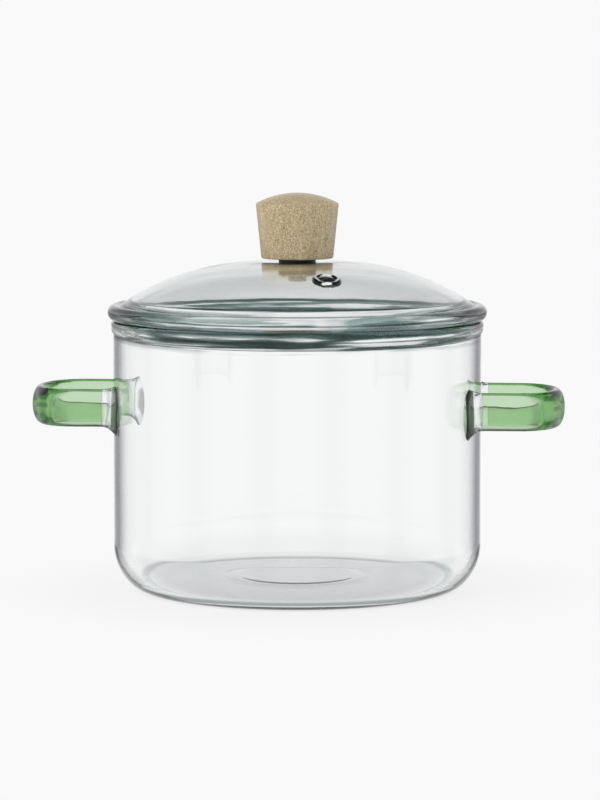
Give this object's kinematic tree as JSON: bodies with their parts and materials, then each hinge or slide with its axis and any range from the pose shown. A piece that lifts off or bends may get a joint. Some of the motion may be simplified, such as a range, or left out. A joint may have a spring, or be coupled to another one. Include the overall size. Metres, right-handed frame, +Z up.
{
  "type": "glass saucepan with lid",
  "caption": "Clear glass saucepan with green glass loop handles, a domed glass lid with a steam vent and a turned wooden knob.",
  "frame": {"origin": "on the table, under the pot's axis", "axes": "+Z up along the pot's axis, +X through the middle of one handle, -Y towards the steam vent's side"},
  "size_m": [0.2326, 0.1648, 0.1722],
  "materials": {
    "clear_glass": "clear, fire polished",
    "green_glass": "clear green, fire polished",
    "beech": "sanded and oiled",
    "brass": "plain turned",
    "black_rubber": "matt",
    "tan_silicone": "matt",
    "steel": "plain stainless"
  },
  "bodies": {
    "pot": {"pot_body": "clear_glass", "handle_left": "green_glass", "handle_right": "green_glass", "weld_left_front": "clear_glass", "weld_left_back": "clear_glass", "weld_right_front": "clear_glass", "weld_right_back": "clear_glass"},
    "lid_carrier": {"screw_washer": "steel", "lower_gasket": "tan_silicone"},
    "lid": {"lid_glass": "clear_glass", "knob_gasket": "black_rubber", "knob_screw": "steel"},
    "insert": {"knob_insert": "brass"},
    "knob": {"knob": "beech"}
  },
  "joints": [
    {"name": "lid_lift", "type": "slide", "parent": "pot", "child": "lid_carrier", "axis": [0, 0, 1], "range_m": [0, 0.1]},
    {"name": "lid_turn", "type": "hinge", "parent": "lid_carrier", "child": "lid", "pos_m": [0, 0, 0.1], "axis": [0, 0, 1], "continuous": true},
    {"name": "knob_rise", "type": "slide", "parent": "lid", "child": "insert", "axis": [0, 0, 1], "range_m": [0, 0.0084]},
    {"name": "knob_turn", "type": "hinge", "parent": "insert", "child": "knob", "pos_m": [0, 0, 0.15], "axis": [0, 0, 1], "range_deg": [0, 4320]}
  ],
  "couplings": [
    {"joint": "knob_rise", "follows": "knob_turn", "m_per_rad": 0.00011141}
  ]
}
